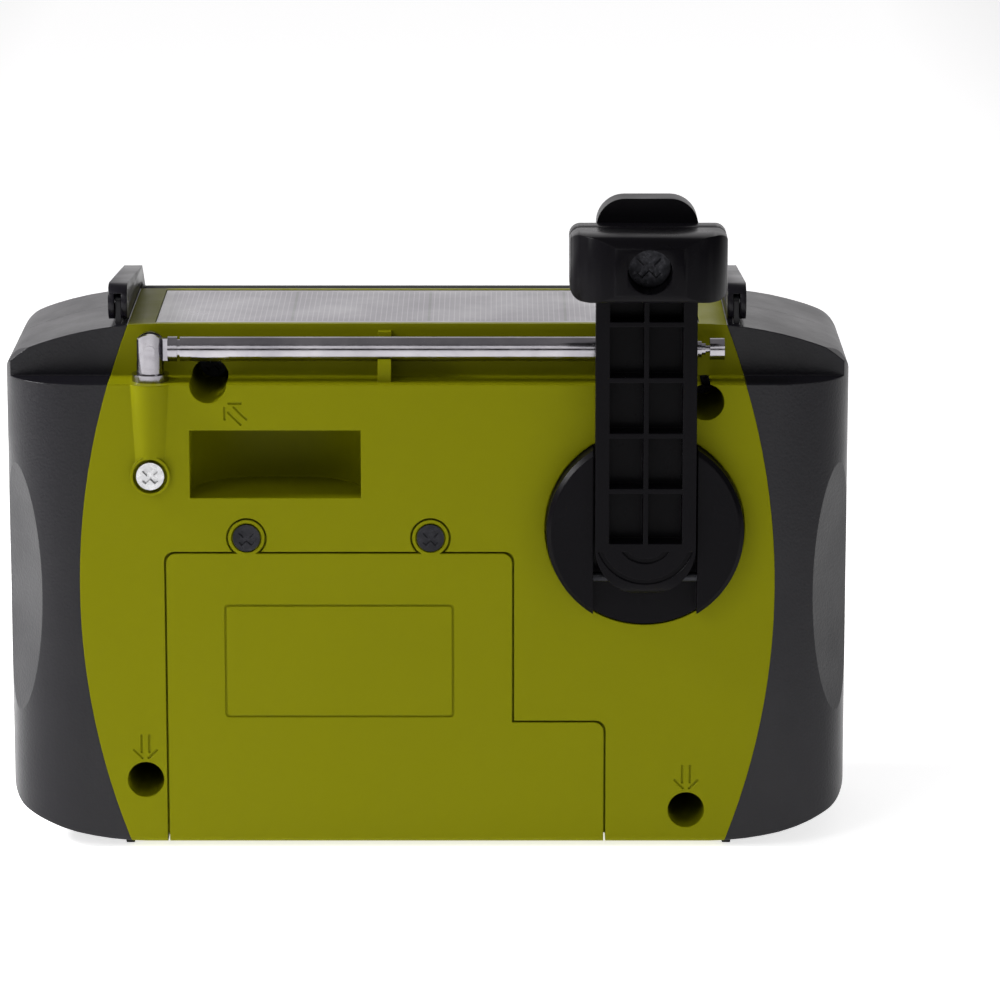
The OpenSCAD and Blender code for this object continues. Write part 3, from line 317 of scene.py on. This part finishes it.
finishes = dict(
    green_case=plastic("oliveCase", dict(
        color=(0.180, 0.181, 0.0015), rough=0.4, grain=0.28, depth=0.006, tone=0.035, scuff=0.012,
        specular=0.04, scuffColor=(0.3, 0.3, 0.12),
    )),
    green_door=plastic("oliveDoor", dict(
        color=(0.181, 0.182, 0.0015), rough=0.41, grain=0.28, depth=0.006, tone=0.035, scuff=0.012,
        specular=0.04, scuffColor=(0.3, 0.3, 0.12),
    )),
    black_caps=plastic("grainedCaps", dict(
        color=(0.0045, 0.004, 0.0065), rough=0.34, grain=0.22, depth=0.006, cells=0.5,
        cellDepth=0.022, tone=0.15, spread=0.05, specular=0.28, scuff=0.02,
        scuffColor=(0.1, 0.1, 0.11),
    )),
    crank_black=plastic("glossBlack", dict(
        color=(0.0038, 0.0034, 0.0045), rough=0.3, grain=0.5, depth=0.003, tone=0.1, scuff=0.02,
        scuffColor=(0.06, 0.06, 0.065), specular=0.05,
    )),
    handle_black=plastic("satinBlack", dict(
        color=(0.006, 0.0052, 0.008), rough=0.33, grain=0.3, depth=0.005, specular=0.2, tone=0.1,
        scuff=0.02, scuffColor=(0.08, 0.08, 0.085),
    )),
    grip_rubber=plastic("gripRubber", dict(
        color=(0.012, 0.012, 0.012), rough=0.62, grain=0.2, depth=0.01,
    )),
    feet_rubber=plastic("footRubber", dict(
        color=(0.01, 0.01, 0.01), rough=0.7, grain=0.2, depth=0.01,
    )),
    antenna_chrome=metal("polishedChrome", dict(
        color=(0.4, 0.385, 0.41), dull=(0.27, 0.26, 0.285), rough=0.16, scale=1600,
        stretch=(0.3, 1, 1), depth=0.0035,
    )),
    zinc_screws=metal("zincPlate", dict(
        color=(0.6, 0.6, 0.61), dull=(0.38, 0.38, 0.39), rough=0.3, scale=1500, depth=0.006,
    )),
    black_screws=metal("blackenedSteel", dict(
        color=(0.03, 0.03, 0.034), dull=(0.012, 0.012, 0.014), rough=0.36, scale=1500, depth=0.006,
    )),
    steel=metal("turnedSteel", dict(
        color=(0.6, 0.6, 0.61), dull=(0.42, 0.42, 0.43), rough=0.25, scale=1200, depth=0.003,
    )),
    bronze=metal("sinteredBronze", dict(
        color=(0.6, 0.4, 0.16), dull=(0.4, 0.27, 0.12), rough=0.4, scale=1800, depth=0.01,
    )),
    gear_nylon=plastic("gearNylon", dict(
        color=(0.72, 0.71, 0.62), rough=0.45, grain=0.3, depth=0.004,
    )),
    generator_steel=metal("platedCan", dict(
        color=(0.55, 0.55, 0.57), dull=(0.4, 0.4, 0.42), rough=0.3, scale=900, depth=0.004,
    )),
    inner_black=plastic("innerBlack", dict(
        color=(0.02, 0.02, 0.02), rough=0.5, grain=0.3, depth=0.006,
    )),
    contacts=metal("nickelPlate", dict(
        color=(0.7, 0.68, 0.64), dull=(0.5, 0.48, 0.45), rough=0.28, scale=900, depth=0.003,
    )),
    cells=plastic("cellWrap", dict(color=(0.05, 0.1, 0.22), rough=0.25, grain=0.5, depth=0.002)),
    circuit_board=plastic("solderMask", dict(
        color=(0.015, 0.12, 0.04), rough=0.3, grain=0.8, depth=0.006,
    )),
    speaker_parts=plastic("speakerCone", dict(
        color=(0.03, 0.03, 0.03), rough=0.7, grain=0.4, depth=0.02,
    )),
    grille_metal=plastic("grillePowder", dict(
        color=(0.015, 0.015, 0.016), rough=0.45, grain=0.25, depth=0.012,
    )),
    control_black=plastic("controlBlack", dict(
        color=(0.012, 0.012, 0.013), rough=0.38, grain=0.3, depth=0.006,
    )),
    components=plastic("componentBody", dict(
        color=(0.45, 0.44, 0.38), rough=0.45, grain=0.4, depth=0.004,
    )),
    clear=clear("clearWindow", dict(color=(0.97, 0.98, 0.98), rough=0.02, ior=1.49)),
    dial_card=plastic("dialCard", dict(
        color=(0.62, 0.61, 0.52), rough=0.55, grain=0.3, depth=0.003,
    )),
    red_plastic=plastic("redPlastic", dict(
        color=(0.5, 0.012, 0.008), rough=0.25, grain=0.5, depth=0.003,
    )),
    reflector=metal("reflectorMetal", dict(
        color=(0.9, 0.9, 0.9), dull=(0.85, 0.85, 0.86), rough=0.06, scale=700, depth=0.001,
    )),
    led=plastic("ledRed", dict(
        color=(0.6, 0.03, 0.02), rough=0.12, grain=0.8, depth=0.001, coat=1.0, coatRough=0.05,
    )),
    jack_black=plastic("jackBlack", dict(
        color=(0.015, 0.015, 0.015), rough=0.45, grain=0.3, depth=0.005,
    )),
    socket_metal=metal("stampedMetal", dict(
        color=(0.6, 0.6, 0.61), dull=(0.45, 0.45, 0.46), rough=0.28, scale=900, depth=0.004,
    )),
)


def solarMaterial(s):
    material, tree, surface = newMaterial("solarCells")
    where = objectSpace(tree)
    parts = place(tree, "ShaderNodeSeparateXYZ")
    tree.links.new(where, parts.inputs[0])

    def math2(operation, first, second):
        node = place(tree, "ShaderNodeMath", operation=operation)
        tree.links.new(first, node.inputs[0])
        if isinstance(second, (int, float)):
            node.inputs[1].default_value = second
        else:
            tree.links.new(second, node.inputs[1])
        return node.outputs[0]

    def lines(pitch, share):
        return math2("LESS_THAN", math2("FRACT", math2("MULTIPLY", parts.outputs["X"], 1 / pitch), 0), share)

    def edge(width):
        fromMiddle = math2("SUBTRACT", parts.outputs["Y"], middle("solar_panel").y)
        size = (high("solar_panel") - low("solar_panel")) / 2
        across = math2("GREATER_THAN", math2("ABSOLUTE", parts.outputs["X"], 0), size.x - width)
        along = math2("GREATER_THAN", math2("ABSOLUTE", fromMiddle, 0), size.y - width)
        return math2("MAXIMUM", across, along)

    cloud = noiseField(tree, where, s["cloudScale"], 5)
    cells = mixColor(tree, cloud, s["dark"], s["light"])
    fingers = mixColor(tree, lines(s["finger"], s["fingerShare"]), cells, s["silver"])
    split = mixColor(tree, lines(s["cell"], s["cellShare"]), fingers, s["gap"])
    rim = mixColor(tree, edge(s["rim"]), split, s["rimColor"])
    border = mixColor(tree, edge(s["border"]), rim, s["gap"])
    tree.links.new(border, surface.inputs["Base Color"])
    rough = remap(tree, cloud, s["rough"] * 0.7, s["rough"] * 1.5, 0.3, 0.7)
    tree.links.new(rough, surface.inputs["Roughness"])
    wave = noiseField(tree, where, s["waveScale"], 2)
    tree.links.new(bump(tree, wave, s["waveDepth"] * mm), surface.inputs["Normal"])
    surface.inputs["Coat Weight"].default_value = s["coat"]
    surface.inputs["Coat Roughness"].default_value = s["coatRough"]
    return material


solar = dict(
    dark=(0.06, 0.052, 0.07),
    light=(0.09, 0.078, 0.1),
    silver=(0.2, 0.19, 0.215),
    gap=(0.01, 0.01, 0.012),
    rimColor=(0.16, 0.15, 0.17),
    border=0.0003,        # widths in metres, from the panel's edge inwards
    rim=0.0016,
    finger=0.00095,       # pitch of the silver fingers, and how much of it is silver
    fingerShare=0.16,
    cell=0.0247,          # pitch of the cells, and how much of it is gap
    cellShare=0.02,
    rough=0.34,
    cloudScale=60,
    waveScale=140,
    waveDepth=0.02,
    coat=0.6,
    coatRough=0.15,
)
finishes["solar_cells"] = solarMaterial(solar)
print("materials ready:", len(finishes))


# pieces made from the frame's nodes, with softened edges

slotOf = {part["node"]: part["material_slot"] for part in frame["record"]["subparts"]}
bodyOf = {node: body for body, nodes in frame["record"]["behaviour"]["bodies"].items() for node in nodes}


edgeLook = dict(
    weld=0.002,      # mm
    flat=0.6,        # degrees under which neighbouring faces are joined
    steps=2,
    sharp=32,        # degrees over which an edge is rounded
    shade=35,        # degrees over which a painted node keeps a hard edge
)


def cleanCopy(node):
    source = frame["nodes"][node]
    mesh = bmesh.new()
    mesh.from_mesh(source.data)
    bmesh.ops.remove_doubles(mesh, verts=mesh.verts, dist=edgeLook["weld"] * mm)
    flat = math.radians(edgeLook["flat"])
    bmesh.ops.dissolve_limit(mesh, angle_limit=flat, verts=mesh.verts, edges=mesh.edges)
    bmesh.ops.triangulate(mesh, faces=[f for f in mesh.faces if len(f.verts) > 4])
    data = bpy.data.meshes.new(node + "_look")
    mesh.to_mesh(data)
    mesh.free()
    piece = bpy.data.objects.new(node + "_look", data)
    bpy.context.scene.collection.objects.link(piece)
    return piece


def soften(node, width):
    piece = cleanCopy(node)
    piece.data.materials.append(finishes[slotOf[node]])
    for face in piece.data.polygons:
        face.use_smooth = True
    edge = piece.modifiers.new("edges", "BEVEL")
    edge.width = width * mm
    edge.segments = edgeLook["steps"]
    edge.limit_method = "ANGLE"
    edge.angle_limit = math.radians(edgeLook["sharp"])
    edge.harden_normals = True
    edge.use_clamp_overlap = True
    edge.miter_outer = "MITER_ARC"
    bpy.context.view_layer.objects.active = piece
    bpy.ops.object.modifier_apply(modifier="edges")
    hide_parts(node)
    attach(piece, bodyOf[node])


# edge radius in mm for each node that gets softened edges
edgeWidths = dict(
    crank_knob=0.5, knob_strip=0.5, handle_left=0.4, handle_right=0.4, band_slider=0.2, torch_button=0.35,
    feet=0.2, dial_window=0.15, charge_socket=0.1,
)

for node, width in edgeWidths.items():
    soften(node, width)
print("softened pieces:", len(edgeWidths))

for node, piece in frame["nodes"].items():
    if node in edgeWidths:
        continue
    piece.data.materials.clear()
    piece.data.materials.append(finishes[slotOf[node]])
    for face in piece.data.polygons:
        face.use_smooth = True
    piece.data.set_sharp_from_angle(angle=math.radians(edgeLook["shade"]))
print("frame nodes painted")
